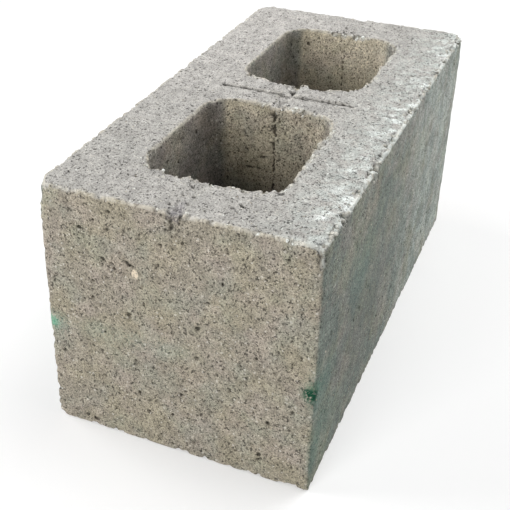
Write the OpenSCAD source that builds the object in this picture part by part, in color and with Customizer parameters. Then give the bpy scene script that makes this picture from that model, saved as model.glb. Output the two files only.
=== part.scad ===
// Hollow concrete block with two open cells, cast in one piece.
// The origin is at the middle of the underside: X runs along the block's length,
// Y across its width and Z up.

/* [Block] */
// Length along the wall
block_length = 440; // [360:5:600]
// Width through the wall
block_width = 215; // [175:5:300]
// Height of one course, without its mortar
block_height = 215; // [150:5:300]
// Radius of the four upright outer arrises
arris_radius = 3; // [1:0.5:8]

/* [Webs and face shells] */
// Thickness of each end web, at the top
end_web = 52; // [30:1:75]
// Thickness of the web between the two cells, at the top
centre_web = 52; // [30:1:75]
// Thickness of the face shell on each long side, at the top
face_shell = 52.5; // [35:0.5:70]

/* [Cells] */
// How far each wall of a cell leans in, from the top down to the underside
cell_draft = 3; // [1:0.5:8]
// Radius of a cell's upright corners, at the top
cell_corner_radius = 25; // [12:1:30]

/* [Splitting groove] */
// Width of the groove in the top of the centre web
groove_width = 3; // [2:0.5:8]
// Depth of the groove
groove_depth = 3; // [1:0.5:10]
// How far the groove runs past the cells at each of its ends
groove_overrun = 2; // [0:0.5:12]

/* [Core bar marks] */
// Width of the channel that the mould's core bar leaves across the webs
bar_mark_width = 10; // [6:0.5:16]
// Depth of that channel
bar_mark_depth = 2; // [1:0.5:6]
// Width of the bar's seat in each end face
bar_seat_width = 4; // [2:0.5:6]
// How far the seat runs down the end face from the top
bar_seat_drop = 28; // [10:1:60]
// How deep the seat goes into the end face
bar_seat_depth = 1; // [0.5:0.5:6]

/* [Hidden] */
$fn = 64;

// A cut runs this far past the face that it opens
past = 5;

// Openings of the cells at the top, and the places of their centres
cell_length = (block_length - 2 * end_web - centre_web) / 2;
cell_width = block_width - 2 * face_shell;
cell_centre = (centre_web + cell_length) / 2;

CONCRETE = [0.72, 0.71, 0.68];

// How far a cell's wall stands out from its corner centres at a height
function wall_reach(height) =
    cell_corner_radius - cell_draft * (1 - height / block_height);

// An upright prism with round corners, standing on the origin
module rounded_prism(length, width, height, radius) {
    translate([-length / 2 + radius, -width / 2, 0])
        cube([length - 2 * radius, width, height]);
    translate([-length / 2, -width / 2 + radius, 0])
        cube([length, width - 2 * radius, height]);
    for (side_x = [-1, 1], side_y = [-1, 1])
        translate([side_x * (length / 2 - radius), side_y * (width / 2 - radius), 0])
            cylinder(h = height, r = radius);
}

// A wedge along X whose two ends follow the cell's lean, for a given half length between
// corner centres
module leaning_prism(half_length, width) {
    low = -past;
    high = block_height + past;
    rotate([90, 0, 0])
        linear_extrude(height = width, center = true)
            polygon([
                [-half_length - wall_reach(low), low],
                [half_length + wall_reach(low), low],
                [half_length + wall_reach(high), high],
                [-half_length - wall_reach(high), high]
            ]);
}

// One cell as the core that forms it: wider at the top, with round upright corners
module cell_core() {
    half_length = cell_length / 2 - cell_corner_radius;
    half_width = cell_width / 2 - cell_corner_radius;
    leaning_prism(half_length, 2 * half_width);
    rotate([0, 0, 90])
        leaning_prism(half_width, 2 * half_length);
    for (side_x = [-1, 1], side_y = [-1, 1])
        translate([side_x * half_length, side_y * half_width, -past])
            cylinder(h = block_height + 2 * past,
                     r1 = wall_reach(-past), r2 = wall_reach(block_height + past));
}

// The groove that a bolster follows to break the block in half, round at both ends
module splitting_groove() {
    run = cell_width + 2 * groove_overrun - groove_width;
    translate([0, 0, block_height - groove_depth]) {
        translate([-groove_width / 2, -run / 2, 0])
            cube([groove_width, run, groove_depth + past]);
        for (side = [-1, 1])
            translate([0, side * run / 2, 0])
                cylinder(h = groove_depth + past, d = groove_width);
    }
}

// The core bar's shallow channel over the webs, and its seat in both end faces
module core_bar_marks() {
    translate([-block_length / 2 - past, -bar_mark_width / 2, block_height - bar_mark_depth])
        cube([block_length + 2 * past, bar_mark_width, bar_mark_depth + past]);
    for (side = [-1, 1])
        translate([side * block_length / 2, 0, block_height + past - bar_seat_drop / 2])
            cube([2 * bar_seat_depth, bar_seat_width, bar_seat_drop + 2 * past], center = true);
}

module block() {
    color(CONCRETE)
        difference() {
            rounded_prism(block_length, block_width, block_height, arris_radius);
            for (side = [-1, 1])
                translate([side * cell_centre, 0, 0])
                    cell_core();
            splitting_groove();
            core_bar_marks();
        }
}

block();
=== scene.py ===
"""Looks of the hollow concrete block: its weathered skin, the grit in it, and a pale studio.

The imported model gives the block's form. Its faces are measured into a regular grid of distances;
the mould's marks, the wear, the chips and the pits are worked into that grid, and the grid is
meshed again as one closed skin. Geometry Nodes then bed the larger grains into the skin.
Lengths are in millimetres while the skin is worked on, and in metres on every object.
"""

from __future__ import annotations

import logging
import math
from dataclasses import dataclass
from enum import Enum
from typing import Any

import bmesh
import bpy
import numpy as np
import openvdb
from mathutils import Matrix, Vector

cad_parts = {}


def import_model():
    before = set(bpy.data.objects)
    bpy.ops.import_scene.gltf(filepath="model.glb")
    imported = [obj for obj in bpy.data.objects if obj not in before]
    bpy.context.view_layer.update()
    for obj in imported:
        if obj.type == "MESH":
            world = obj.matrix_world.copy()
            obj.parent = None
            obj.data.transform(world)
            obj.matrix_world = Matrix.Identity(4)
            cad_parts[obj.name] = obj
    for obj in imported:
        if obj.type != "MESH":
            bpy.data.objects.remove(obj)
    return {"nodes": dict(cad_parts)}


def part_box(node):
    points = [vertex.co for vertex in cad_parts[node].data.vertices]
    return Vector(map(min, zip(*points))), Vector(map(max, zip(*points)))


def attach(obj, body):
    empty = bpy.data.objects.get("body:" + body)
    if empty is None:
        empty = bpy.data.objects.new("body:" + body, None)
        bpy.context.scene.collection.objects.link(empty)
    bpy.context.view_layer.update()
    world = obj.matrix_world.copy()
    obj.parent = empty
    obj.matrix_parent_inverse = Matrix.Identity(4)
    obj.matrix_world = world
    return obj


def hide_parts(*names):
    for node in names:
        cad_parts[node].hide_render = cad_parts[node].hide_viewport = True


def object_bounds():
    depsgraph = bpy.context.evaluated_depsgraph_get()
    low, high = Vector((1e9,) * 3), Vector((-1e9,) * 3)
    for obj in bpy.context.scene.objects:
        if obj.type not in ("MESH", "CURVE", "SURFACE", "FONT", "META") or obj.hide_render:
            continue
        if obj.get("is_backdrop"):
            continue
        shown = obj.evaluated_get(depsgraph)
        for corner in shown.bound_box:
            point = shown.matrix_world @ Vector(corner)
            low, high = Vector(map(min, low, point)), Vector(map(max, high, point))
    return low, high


LOG = logging.getLogger("block")

MM = 0.001
BODY = "root"
NODE = "block"

# The attribute that holds each grain's tone, and the setting of a map range that eases in and out
TONE = "tone"
SMOOTH = {"interpolation_type": "SMOOTHSTEP"}

Tree = bpy.types.NodeTree
Socket = bpy.types.NodeSocket
Place = tuple[float, float, float]


class Axis(Enum):
    """The block's axes, by their number."""

    X = 0
    Y = 1
    Z = 2


class Record(Enum):
    """What the skin records at each of its points, by the name of the attribute."""

    WORN = "worn"  # how much of an arris it is, from 0 to 1
    DEPTH = "depth"  # how far under the face as cast, in millimetres
    TOP = "top"  # 1 on the tamped top
    SHELL = "shell"  # 1 on the faces of the two shells
    CORE = "core"  # 1 inside the cells
    CRUMBLED = "crumbled"  # how badly the arris has crumbled, from 0 to 1
    BARE = "bare"  # 1 where the ends show bare sand and stone


# ---------------------------------------------------------------------------------------
# Small tools
# ---------------------------------------------------------------------------------------


def linear(hex_colour: str) -> tuple[float, float, float, float]:
    """Turn an sRGB colour into the linear one that shaders take.

    Args:
        hex_colour: the colour as "#rrggbb".

    Returns:
        Linear red, green, blue and a full alpha.
    """
    parts = [int(hex_colour[i : i + 2], 16) / 255 for i in (1, 3, 5)]
    red, green, blue = (p / 12.92 if p <= 0.04045 else ((p + 0.055) / 1.055) ** 2.4 for p in parts)
    return red, green, blue, 1.0


def per_mm(size: float) -> float:
    """Give a texture's scale for a feature of that size in millimetres."""
    return 1.0 / (size * MM)


def add_node(
    tree: Tree,
    kind: str,
    settings: dict[str, Any] | None = None,
    values: dict[str | int, Any] | None = None,
    links: dict[str | int, Socket] | None = None,
) -> bpy.types.Node:
    """Add one node to a tree.

    Args:
        tree: the shader or geometry tree.
        kind: the node's type name.
        settings: the node's own properties.
        values: input socket, by name or number, to the value it holds.
        links: input socket, by name or number, to the output that feeds it.

    Returns:
        The new node.
    """
    node = tree.nodes.new(kind)
    for name, value in (settings or {}).items():
        setattr(node, name, value)
    for socket, value in (values or {}).items():
        node.inputs[socket].default_value = value
    for socket, source in (links or {}).items():
        tree.links.new(source, node.inputs[socket])
    return node


def smooth_step(values: np.ndarray, low: float, high: float) -> np.ndarray:
    """Rise smoothly from 0 at low to 1 at high."""
    t = np.clip((values - low) / (high - low), 0, 1)
    return t * t * (3 - 2 * t)


def along(axis: int, values: np.ndarray) -> np.ndarray:
    """Shape a row of values so that it runs along one axis of a grid, by the axis's number."""
    return values.reshape([-1 if i == axis else 1 for i in range(3)])


def mesh_arrays(mesh: bpy.types.Mesh) -> tuple[np.ndarray, np.ndarray]:
    """Read a mesh as merged points in millimetres and the triangles between them.

    Args:
        mesh: a mesh in metres, whose triangles may be loose.

    Returns:
        The points, and three point numbers for each triangle.
    """
    points = np.empty(len(mesh.vertices) * 3, np.float32)
    mesh.vertices.foreach_get("co", points)
    points = points.reshape(-1, 3) / MM
    mesh.calc_loop_triangles()
    triangles = np.empty(len(mesh.loop_triangles) * 3, np.int32)
    mesh.loop_triangles.foreach_get("vertices", triangles)
    micrometres = np.round(points * 1000).astype(np.int64)
    _, first, merged = np.unique(micrometres, axis=0, return_index=True, return_inverse=True)
    return points[first], merged.reshape(-1)[triangles].reshape(-1, 3).astype(np.uint32)


def triangle_count(mesh: bpy.types.Mesh) -> int:
    """Count the triangles that a mesh's faces split into."""
    mesh.calc_loop_triangles()
    return len(mesh.loop_triangles)


def join_collection(obj: bpy.types.Object) -> bpy.types.Object:
    """Show an object in the scene."""
    bpy.context.scene.collection.objects.link(obj)
    return obj


# ---------------------------------------------------------------------------------------
# The skin
# ---------------------------------------------------------------------------------------


@dataclass
class DistanceGrid:
    """Distances to the block's faces on a regular grid, negative inside the concrete."""

    low: np.ndarray
    values: np.ndarray
    voxel: float = 1.0

    @classmethod
    def from_mesh(cls, mesh: bpy.types.Mesh, band: float, margin: int) -> "DistanceGrid":
        """Measure a closed mesh.

        Args:
            mesh: the mesh in metres.
            band: how far from a face, in millimetres, distances are measured.
            margin: empty voxels kept around the mesh.

        Returns:
            The filled grid.
        """
        points, triangles = mesh_arrays(mesh)
        level_set = openvdb.FloatGrid.createLevelSetFromPolygons(
            points,
            triangles=triangles,
            transform=openvdb.createLinearTransform(voxelSize=cls.voxel),
            halfWidth=band / cls.voxel,
        )
        low = np.floor(points.min(0) / cls.voxel).astype(int) - margin
        high = np.ceil(points.max(0) / cls.voxel).astype(int) + margin + 1
        values = np.empty(high - low, np.float32)
        level_set.copyToArray(values, ijk=tuple(int(i) for i in low))
        return cls(low, values)

    def axes(self) -> list[np.ndarray]:
        """Give the millimetre coordinates along X, Y and Z, each shaped along its own axis."""
        return [
            along(a, (np.arange(n, dtype=np.float32) + self.low[a]) * self.voxel)
            for a, n in enumerate(self.values.shape)
        ]

    def blur(self, values: np.ndarray, reach: int) -> np.ndarray:
        """Average values over a cube around each voxel.

        Args:
            values: values of the grid's shape.
            reach: how many voxels the cube reaches each way.

        Returns:
            The averages.
        """
        for axis in range(3):
            pad = [(reach, reach) if a == axis else (0, 0) for a in range(3)]
            padded = np.pad(values, pad, mode="edge")
            length = values.shape[axis]
            values = np.zeros_like(values)
            for shift in range(2 * reach + 1):
                window = [slice(None)] * 3
                window[axis] = slice(shift, shift + length)
                values += padded[tuple(window)]
            values /= 2 * reach + 1
        return values

    def lumps(self, reach: int, rng: np.random.Generator) -> np.ndarray:
        """Fill the grid with round-edged random lumps.

        Args:
            reach: about half the width of one lump, in voxels.
            rng: the source of random numbers.

        Returns:
            Values that spread around 0 with a standard deviation of 1.
        """
        values = rng.standard_normal(self.values.shape, dtype=np.float32)
        for _ in range(2):
            values = self.blur(values, reach)
        return values / values[::4, ::4, ::4].std()

    def noise(self, size: float, rng: np.random.Generator) -> np.ndarray:
        """Fill the grid with smooth noise.

        Args:
            size: the width of one bump in millimetres.
            rng: the source of random numbers.

        Returns:
            Values from -1 to 1.
        """
        counts = [int(n * self.voxel / size) + 3 for n in self.values.shape]
        field_values = rng.uniform(-1, 1, counts).astype(np.float32)
        for axis, n in enumerate(self.values.shape):
            place = np.arange(n, dtype=np.float32) * self.voxel / size
            cell = place.astype(int)
            part = place - cell
            part = along(axis, part * part * (3 - 2 * part))
            before = np.take(field_values, cell, axis)
            after = np.take(field_values, cell + 1, axis)
            field_values = before + (after - before) * part
        return field_values

    def window(self, low: np.ndarray, high: np.ndarray) -> tuple[slice, slice, slice]:
        """Find the part of the grid that holds a box.

        Args:
            low: the box's lowest corner in millimetres.
            high: its highest corner.

        Returns:
            One slice for each axis.
        """
        start = np.maximum(np.floor(low / self.voxel).astype(int) - self.low, 0)
        stop = np.minimum(np.ceil(high / self.voxel).astype(int) + 1 - self.low, self.values.shape)
        return tuple(slice(a, max(a, b)) for a, b in zip(start, stop))

    def carve(self, centre: np.ndarray, radii: np.ndarray, ragged: np.ndarray) -> None:
        """Cut an egg-shaped hollow with a ragged rim.

        Args:
            centre: its centre in millimetres.
            radii: its half widths along X, Y and Z in millimetres.
            ragged: how far the rim wanders, over the whole grid, in parts of its size.
        """
        window = self.window(centre - radii - 2, centre + radii + 2)
        if self.values[window].size == 0:
            return
        away = sum(
            along(a, ((np.arange(s.start, s.stop) + self.low[a]) * self.voxel - centre[a]) / radii[a])
            ** 2
            for a, s in enumerate(window)
        )
        inside = float(radii.min()) * (1 - np.sqrt(away) + ragged[window])
        self.values[window] = np.maximum(self.values[window], inside)

    def sample(self, values: np.ndarray, points: np.ndarray) -> np.ndarray:
        """Read values at points, blended between voxels.

        Args:
            values: values of the grid's shape.
            points: the points in millimetres.

        Returns:
            One value for each point.
        """
        place = points / self.voxel - self.low
        cell = np.clip(np.floor(place).astype(int), 0, np.array(values.shape) - 2)
        part = np.clip(place - cell, 0, 1)
        total = np.zeros(len(points))
        for corner in np.ndindex(2, 2, 2):
            weight = np.prod(np.where(np.array(corner) == 1, part, 1 - part), axis=1)
            index = cell + corner
            total += weight * values[index[:, 0], index[:, 1], index[:, 2]]
        return total

    def crossings(self, axis: Axis, through: np.ndarray) -> list[float]:
        """Find where a line crosses the faces.

        Args:
            axis: the axis that the line runs along.
            through: a point on it, in millimetres.

        Returns:
            The crossings in millimetres, lowest first.
        """
        index = [int(v) for v in np.round(through / self.voxel).astype(int) - self.low]
        index[axis.value] = slice(None)
        row = self.values[tuple(index)]
        before = np.flatnonzero(np.diff(np.sign(row)))
        part = row[before] / (row[before] - row[before + 1])
        return [float(v) for v in (before + part + self.low[axis.value]) * self.voxel]

    def mesh(self, name: str) -> bpy.types.Mesh:
        """Mesh the surface where the distance is nothing.

        Args:
            name: the mesh's name.

        Returns:
            The mesh in metres, whose faces point outwards.
        """
        grid = openvdb.FloatGrid(float(self.values.max()))
        grid.copyFromArray(np.ascontiguousarray(self.values))
        points, triangles, quads = grid.convertToPolygons(0.0, 0.0)
        mesh = bpy.data.meshes.new(name)
        mesh.from_pydata(
            ((points + self.low) * self.voxel * MM).tolist(),
            [],
            triangles.tolist() + quads.tolist(),
        )
        mesh.update()
        return mesh


def drop_loose_parts(mesh: bpy.types.Mesh) -> None:
    """Delete every part of a mesh that does not join its largest one.

    Args:
        mesh: the mesh, which is changed.
    """
    edges = np.empty(len(mesh.edges) * 2, np.int32)
    mesh.edges.foreach_get("vertices", edges)
    first, second = edges.reshape(-1, 2).T
    part = np.arange(len(mesh.vertices))
    while np.any(part[first] != part[second]):
        lowest = np.minimum(part[first], part[second])
        np.minimum.at(part, part[first], lowest)
        np.minimum.at(part, part[second], lowest)
        part = part[part]
    loose = np.flatnonzero(part != np.bincount(part).argmax())
    shape = bmesh.new()
    shape.from_mesh(mesh)
    shape.verts.ensure_lookup_table()
    bmesh.ops.delete(shape, geom=[shape.verts[i] for i in loose], context="VERTS")
    shape.to_mesh(mesh)
    shape.free()


@dataclass(frozen=True)
class Crumble:
    """A stretch of arris that has crumbled: the box it lies in, and how deep its bites go."""

    low: Place
    high: Place
    depth: float


@dataclass(frozen=True)
class Chip:
    """A piece broken off the block, as the hollow that it left."""

    place: Place
    radii: Place


@dataclass(frozen=True)
class PitRow:
    """A row of pits, where a bar of the mould dragged the mix as it was drawn out."""

    start: Place
    end: Place
    radius: tuple[float, float]
    spacing: float
    spread: float
    stretch: Place = (1.0, 1.0, 1.0)


@dataclass(frozen=True)
class BlockForm:
    """Where the walls of the block stand at its top, in millimetres.

    The six ends are the faces of its three webs along X, and the four sides are the faces of
    its two shells along Y.
    """

    ends: tuple[float, ...]
    sides: tuple[float, ...]
    top: float

    @classmethod
    def measure(cls, grid: DistanceGrid, low: np.ndarray, high: np.ndarray) -> "BlockForm":
        """Measure the walls just under the top of the block, beside the core bar's marks.

        Args:
            grid: the distances to the block's faces.
            low: the lowest corner of the block.
            high: its highest corner.

        Returns:
            The walls' places.
        """
        under_top, beside_marks = 8, 12
        middle = (low + high) / 2
        level = high[2] - under_top
        ends = grid.crossings(Axis.X, np.array([middle[0], middle[1] + beside_marks, level]))
        cell = (ends[1] + ends[2]) / 2
        sides = grid.crossings(Axis.Y, np.array([cell, middle[1], level]))
        return cls(tuple(ends), tuple(sides), float(high[2]))

    def top_arris(self, x: tuple[float, float], y: tuple[float, float], depth: float) -> Crumble:
        """Crumble the arrises at the top of the block between two X and two Y."""
        return Crumble((x[0], y[0], self.top - 5), (x[1], y[1], self.top + 2), depth)

    def crumbles(self) -> list[Crumble]:
        """List the stretches of arris that were knocked or left the mould badly.

        Returns:
            The stretches: the outer arrises, then each cell's rim, then the front's foot.
        """
        front, near, mid, beyond_mid, far, back = self.ends
        right, in_right, in_left, left = self.sides
        edge = 3.0
        return [
            self.top_arris((front, 45), (right - edge, right + edge), 4.5),
            self.top_arris((45, back), (right - edge, right + edge), 3.0),
            self.top_arris((front - edge, front + edge), (right, left), 1.2),
            self.top_arris((near - edge, near + edge), (in_right, 30), 8.0),
            self.top_arris((near - edge, near + edge), (30, in_left), 3.0),
            self.top_arris((near, near + 22), (in_left - 12, in_left + edge), 4.5),
            self.top_arris((near, mid), (in_right - edge, in_right + edge), 6.0),
            self.top_arris((mid - edge, mid + edge), (in_right, 14), 3.0),
            self.top_arris((beyond_mid - edge, beyond_mid + edge), (in_right, in_left), 4.0),
            self.top_arris((beyond_mid, far), (in_right - edge, in_right + edge), 3.0),
            self.top_arris((far - edge, far + edge), (-20, 20), 3.5),
            Crumble((front - edge, right, -2), (front + edge, left, 4), 0.5),
            Crumble((front - edge, left - edge, 0), (front + edge, left + edge, 26), 2.2),
        ]

    def rows(self) -> list[PitRow]:
        """List the rows of pits that the core bar and its seat left.

        Returns:
            The rows down the front, along the webs' tops, down the webs' faces, in the groove
            across the centre web, and in the cracks beside it.
        """
        front, near, mid, beyond_mid, far, back = self.ends
        top = self.top
        rows = [
            PitRow((front, y, top - 4), (front, y, top - 23), (0.9, 1.5), 1.9, 0.3, (1.8, 0.8, 1.5))
            for y in (-2.0, 2.2)
        ]
        for start, end in ((front, near), (mid, beyond_mid), (far, back)):
            for y in (-4.6, 4.6):
                rows.append(PitRow((start, y, top - 1), (end, y, top - 1), (0.9, 2.2), 3.6, 1.2))
        for x, size in ((near, 1.0), (mid, 1.4), (beyond_mid, 1.1), (far, 1.0), (back, 0.8)):
            rows.append(
                PitRow(
                    (x, 1, top - 2), (x, 0, top - 40),
                    (0.6 * size, 1.15 * size), 2.2, 0.7, (2, 0.9, 1.4),
                )
            )
            rows.append(
                PitRow((x, 0, top - 36), (x, -1, 60), (0.6, 0.6 + 0.3 * size), 1.8, 0.4, (2.8, 0.8, 1.3))
            )
        groove = (0.0, self.sides[2] + 2, top - 1.5), (0.0, self.sides[1] - 2, top - 1.5)
        rows.append(PitRow(*groove, (1.7, 2.5), 1.3, 0.4, (0.95, 1.3, 3.0)))
        rows.append(PitRow((mid, -1, top), (4, -4, top), (1.3, 2.2), 2.0, 0.6, (1.2, 1.0, 1.8)))
        rows.append(PitRow((4, -4, top), (beyond_mid, -1, top), (2.0, 2.9), 2.2, 0.6, (1.2, 1, 2)))
        rows.append(PitRow((far, 1, top), (far + 16, -6, top), (1.1, 1.8), 2.0, 0.4, (1.2, 1.0, 1.6)))
        return rows

    def chips(self) -> list[Chip]:
        """List the larger holes and chips one by one.

        Returns:
            The chips of the rims and the bar's seat, those of the front face, and two that
            make a short crack in the centre web.
        """
        front, near, mid, beyond_mid, far, _ = self.ends
        right, in_right, in_left, _ = self.sides
        top = self.top
        return [
            Chip((near + 33, in_left, top), (5.0, 2.2, 2.2)),
            Chip((near + 26, in_left, top), (3.0, 1.8, 2.0)),
            Chip((near + 2, in_left - 14, top), (4.0, 4.0, 4.0)),
            Chip((near, 1, top), (4.5, 4.5, 4.0)),
            Chip((front, 0, top), (8.0, 5.5, 4.5)),
            Chip((front + 9, 2, top), (5.0, 4.0, 2.6)),
            Chip((front + 2, -5, top - 3), (3.5, 2.5, 4.0)),
            Chip((near, -14, top), (3.0, 6.0, 2.6)),
            Chip((near, -30, top), (2.6, 5.0, 2.4)),
            Chip((near + 6, in_right, top), (6.0, 3.0, 3.0)),
            Chip((near + 46, in_right - 1, top), (7.0, 3.4, 3.0)),
            Chip((mid, 4, top - 4), (3.0, 1.8, 2.4)),
            Chip((mid, 0, top - 9), (3.0, 1.8, 2.8)),
            Chip((beyond_mid, -2, top), (6.0, 2.6, 4.5)),
            Chip((far, 1, top - 2), (3.5, 2.2, 3.5)),
            Chip((front, 38.6, 120), (2.6, 2.6, 1.3)),
            Chip((front, 37.2, 116), (2.6, 1.2, 4.2)),
            Chip((front, 35, 163), (2.4, 3.2, 1.5)),
            Chip((front, 38, 165), (2.4, 1.6, 1.6)),
            Chip((front, 72.5, 6), (3.0, 3.2, 2.6)),
            Chip((front, 80, 8), (2.6, 2.2, 2.2)),
            Chip((front, -91.5, 213), (2.6, 2.0, 1.6)),
            Chip((front, right + 4, 207), (2.6, 2.2, 2.0)),
            Chip((front, -96, 3), (2.5, 3.0, 2.0)),
            Chip((mid, 22, 153.4), (2.6, 5.0, 0.8)),
            Chip((mid, 15, 153.8), (2.6, 5.0, 0.9)),
        ]


@dataclass
class CastSkin:
    """The block's surface as cast, with its wear and damage. Lengths are in millimetres."""

    node: bpy.types.Object
    seed: int = 20
    # Distances are measured this far from a face, with this many empty voxels around them
    band: float = 9.0
    margin: int = 3
    # Lumps of mix that stand in the bar's marks: the marks' half width and depth, the lumps'
    # mean height, what coarse and fine noise add to it, and the tallest lump
    mark_half_width: float = 6.0
    mark_depth: float = 5.0
    lump_mean: float = 0.6
    lump_coarse: float = 0.8
    lump_fine: float = 0.3
    lump_most: float = 1.7
    # Lumps stay this far under the top, and this far from the bottom of the mark
    lump_under_top: float = 0.3
    lump_off_floor: float = 2.0
    # Arrises: how sharp an edge is felt, its even wear and its small bites, how much more a
    # sharp corner takes than an edge, and how blunt the block's four top corners are
    edge_reach: int = 4
    edge_sharp: float = 1.0
    edge_wear: float = 0.3
    edge_bite: float = 0.28
    edge_most: float = 1.7
    corner_blunt: float = 2.2
    # The margin over which a crumbled stretch fades into a sound one
    fade: float = 8.0
    # A stretch with bites over this depth is weak: it waves in and out by the burr
    weak_bite: float = 2.5
    burr: float = 1.5
    burr_inward: float = 1.6
    burr_length: float = 11.0
    # The groove across the centre web: half its width and length, its depth, and the share of
    # an arris's wear that it takes
    groove_half: tuple[float, float] = (2.5, 60.0)
    groove_depth: float = 7.0
    groove_wear: float = 0.3
    # Crumbs lie where the bites are deeper than this
    crumb_bite: float = 0.8
    # Nothing grows further than this outside the block
    stands_out: float = 0.4
    # The low waves of a face: their depth, and the width of one
    face_skim: float = 0.25
    face_wave: float = 45.0
    # Voids in the faces: how many, their radius, the share of them under the block and in
    # its cells, the width of a cluster, and how far their rims wander
    pits: int = 5600
    pit_radius: tuple[float, float] = (0.8, 1.6)
    pits_under: float = 0.3
    pits_inside: float = 0.55
    pit_cluster: float = 26.0
    rim_wander: float = 0.22
    # The chance of a pit between clusters, what a cluster adds, and how far an arris lowers it
    pit_alone: float = 0.35
    pit_clustered: float = 1.3
    pit_off_arris: float = 0.85
    # A pit is one to three hollows run together, of these half widths and this far apart in
    # parts of its radius, and the power makes the large ones rare
    pit_hollows: tuple[int, int] = (1, 4)
    pit_shape: tuple[float, float] = (0.6, 1.25)
    pit_apart: float = 1.1
    pit_rarity: int = 4
    most_triangles: int = 198_500

    def build(self) -> bpy.types.Object:
        """Make the skin.

        Returns:
            The finished skin, as one closed mesh.
        """
        self.rng = np.random.default_rng(self.seed)
        self.grid = DistanceGrid.from_mesh(self.node.data, self.band, self.margin)
        self.cast = self.grid.values.copy()
        low_corner, self.high_corner = (np.array(c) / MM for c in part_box(self.node.name))
        self.form = BlockForm.measure(self.grid, low_corner, self.high_corner)
        self.fine = self.grid.lumps(1, self.rng)
        self.coarse = self.grid.lumps(3, self.rng)
        self.fill_bar_marks()
        self.wear_arrises()
        self.skim_faces()
        self.ragged = self.rim_wander * self.fine
        self.pit_faces()
        self.drag_rows()
        for chip in self.form.chips():
            self.grid.carve(np.array(chip.place), np.array(chip.radii), self.ragged)
        skin = join_collection(bpy.data.objects.new("block_skin", self.grid.mesh("block_skin")))
        self.thin(skin)
        drop_loose_parts(skin.data)
        self.store_history(skin.data)
        skin.data.shade_smooth()
        return skin

    def within(self, low: Place, high: Place, soft: float) -> np.ndarray:
        """Mark the inside of a box.

        Args:
            low: its lowest corner.
            high: its highest corner.
            soft: the margin over which the mark fades out.

        Returns:
            1 inside the box and 0 beyond the margin, over the whole grid.
        """
        mask = np.float32(1.0)
        for values, start, stop in zip(self.grid.axes(), low, high):
            mask = mask * smooth_step(values, start - soft, start)
            mask = mask * smooth_step(values, stop + soft, stop)
        return mask

    def fill_bar_marks(self) -> None:
        """Leave lumps of mix standing in the marks of the core bar."""
        top = self.high_corner[2]
        z = self.grid.axes()[2]
        past_end = float(self.high_corner[0]) + self.band
        low = (-past_end, -self.mark_half_width, top - self.mark_depth)
        mark = self.within(low, (past_end, self.mark_half_width, top + 2), 2.0)
        height = self.lump_mean + self.lump_coarse * self.coarse + self.lump_fine * self.fine
        lumps = np.clip(mark * height, 0, self.lump_most)
        filled = np.maximum(self.grid.values - lumps, z - (top - self.lump_under_top))
        filled = np.maximum(filled, self.cast - self.lump_off_floor)
        self.grid.values = np.where(mark > 0, filled, self.grid.values)

    def wear_arrises(self) -> None:
        """Take the sharpness off every outside edge, and crumble the weak stretches."""
        corner = self.grid.blur(self.cast, self.edge_reach) - self.cast
        self.corner = np.clip(corner / self.edge_sharp, 0, self.edge_most)
        bites = np.full_like(self.corner, self.edge_bite)
        for crumble in self.form.crumbles():
            stretch = self.within(crumble.low, crumble.high, self.fade)
            bites = np.maximum(bites, crumble.depth * stretch)
        weak = bites > self.weak_bite
        bitten = smooth_step(0.5 * self.coarse + 0.8 * self.fine, -0.3, 1.5)
        bites *= bitten
        even = np.maximum(self.edge_wear * (1 + 0.5 * self.coarse + 0.7 * self.fine), 0)
        wear = self.blunt_corners() + even + bites
        waves = self.grid.noise(self.burr_length, self.rng)
        wear -= self.burr * waves.clip(0, 1) * weak
        wear += self.burr_inward * self.burr * (-waves).clip(0, 1) * weak
        self.crumbled = self.corner * (bites - self.crumb_bite).clip(0) / self.edge_most
        top = self.high_corner[2]
        across, along_web = self.groove_half
        floor = (-across, -along_web, top - self.groove_depth)
        groove = self.within(floor, (across, along_web, top + 3), 2.0)
        self.grid.values += self.corner * wear * (1 - (1 - self.groove_wear) * groove)
        x, y, z = self.grid.axes()
        aside = np.maximum(np.abs(x) - self.high_corner[0], np.abs(y) - self.high_corner[1])
        beyond = np.maximum(aside, np.maximum(z - top, -z))
        self.grid.values = np.maximum(self.grid.values, beyond - self.stands_out)

    def blunt_corners(self) -> np.ndarray:
        """Find the extra wear of the block's four top corners.

        Returns:
            The wear over the whole grid, nothing away from those corners.
        """
        top = self.high_corner[2]
        blunt = np.zeros_like(self.corner)
        for x in (self.form.ends[0], self.form.ends[-1]):
            for y in (self.form.sides[0], self.form.sides[-1]):
                low, high = (x - 4, y - 4, top - 12), (x + 4, y + 4, top + 1)
                blunt = np.maximum(blunt, self.corner_blunt * self.within(low, high, self.fade))
        return blunt

    def skim_faces(self) -> None:
        """Give the faces the low waves of concrete pressed against worn steel."""
        self.grid.values += self.face_skim * (0.5 + 0.5 * self.grid.noise(self.face_wave, self.rng))

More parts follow.
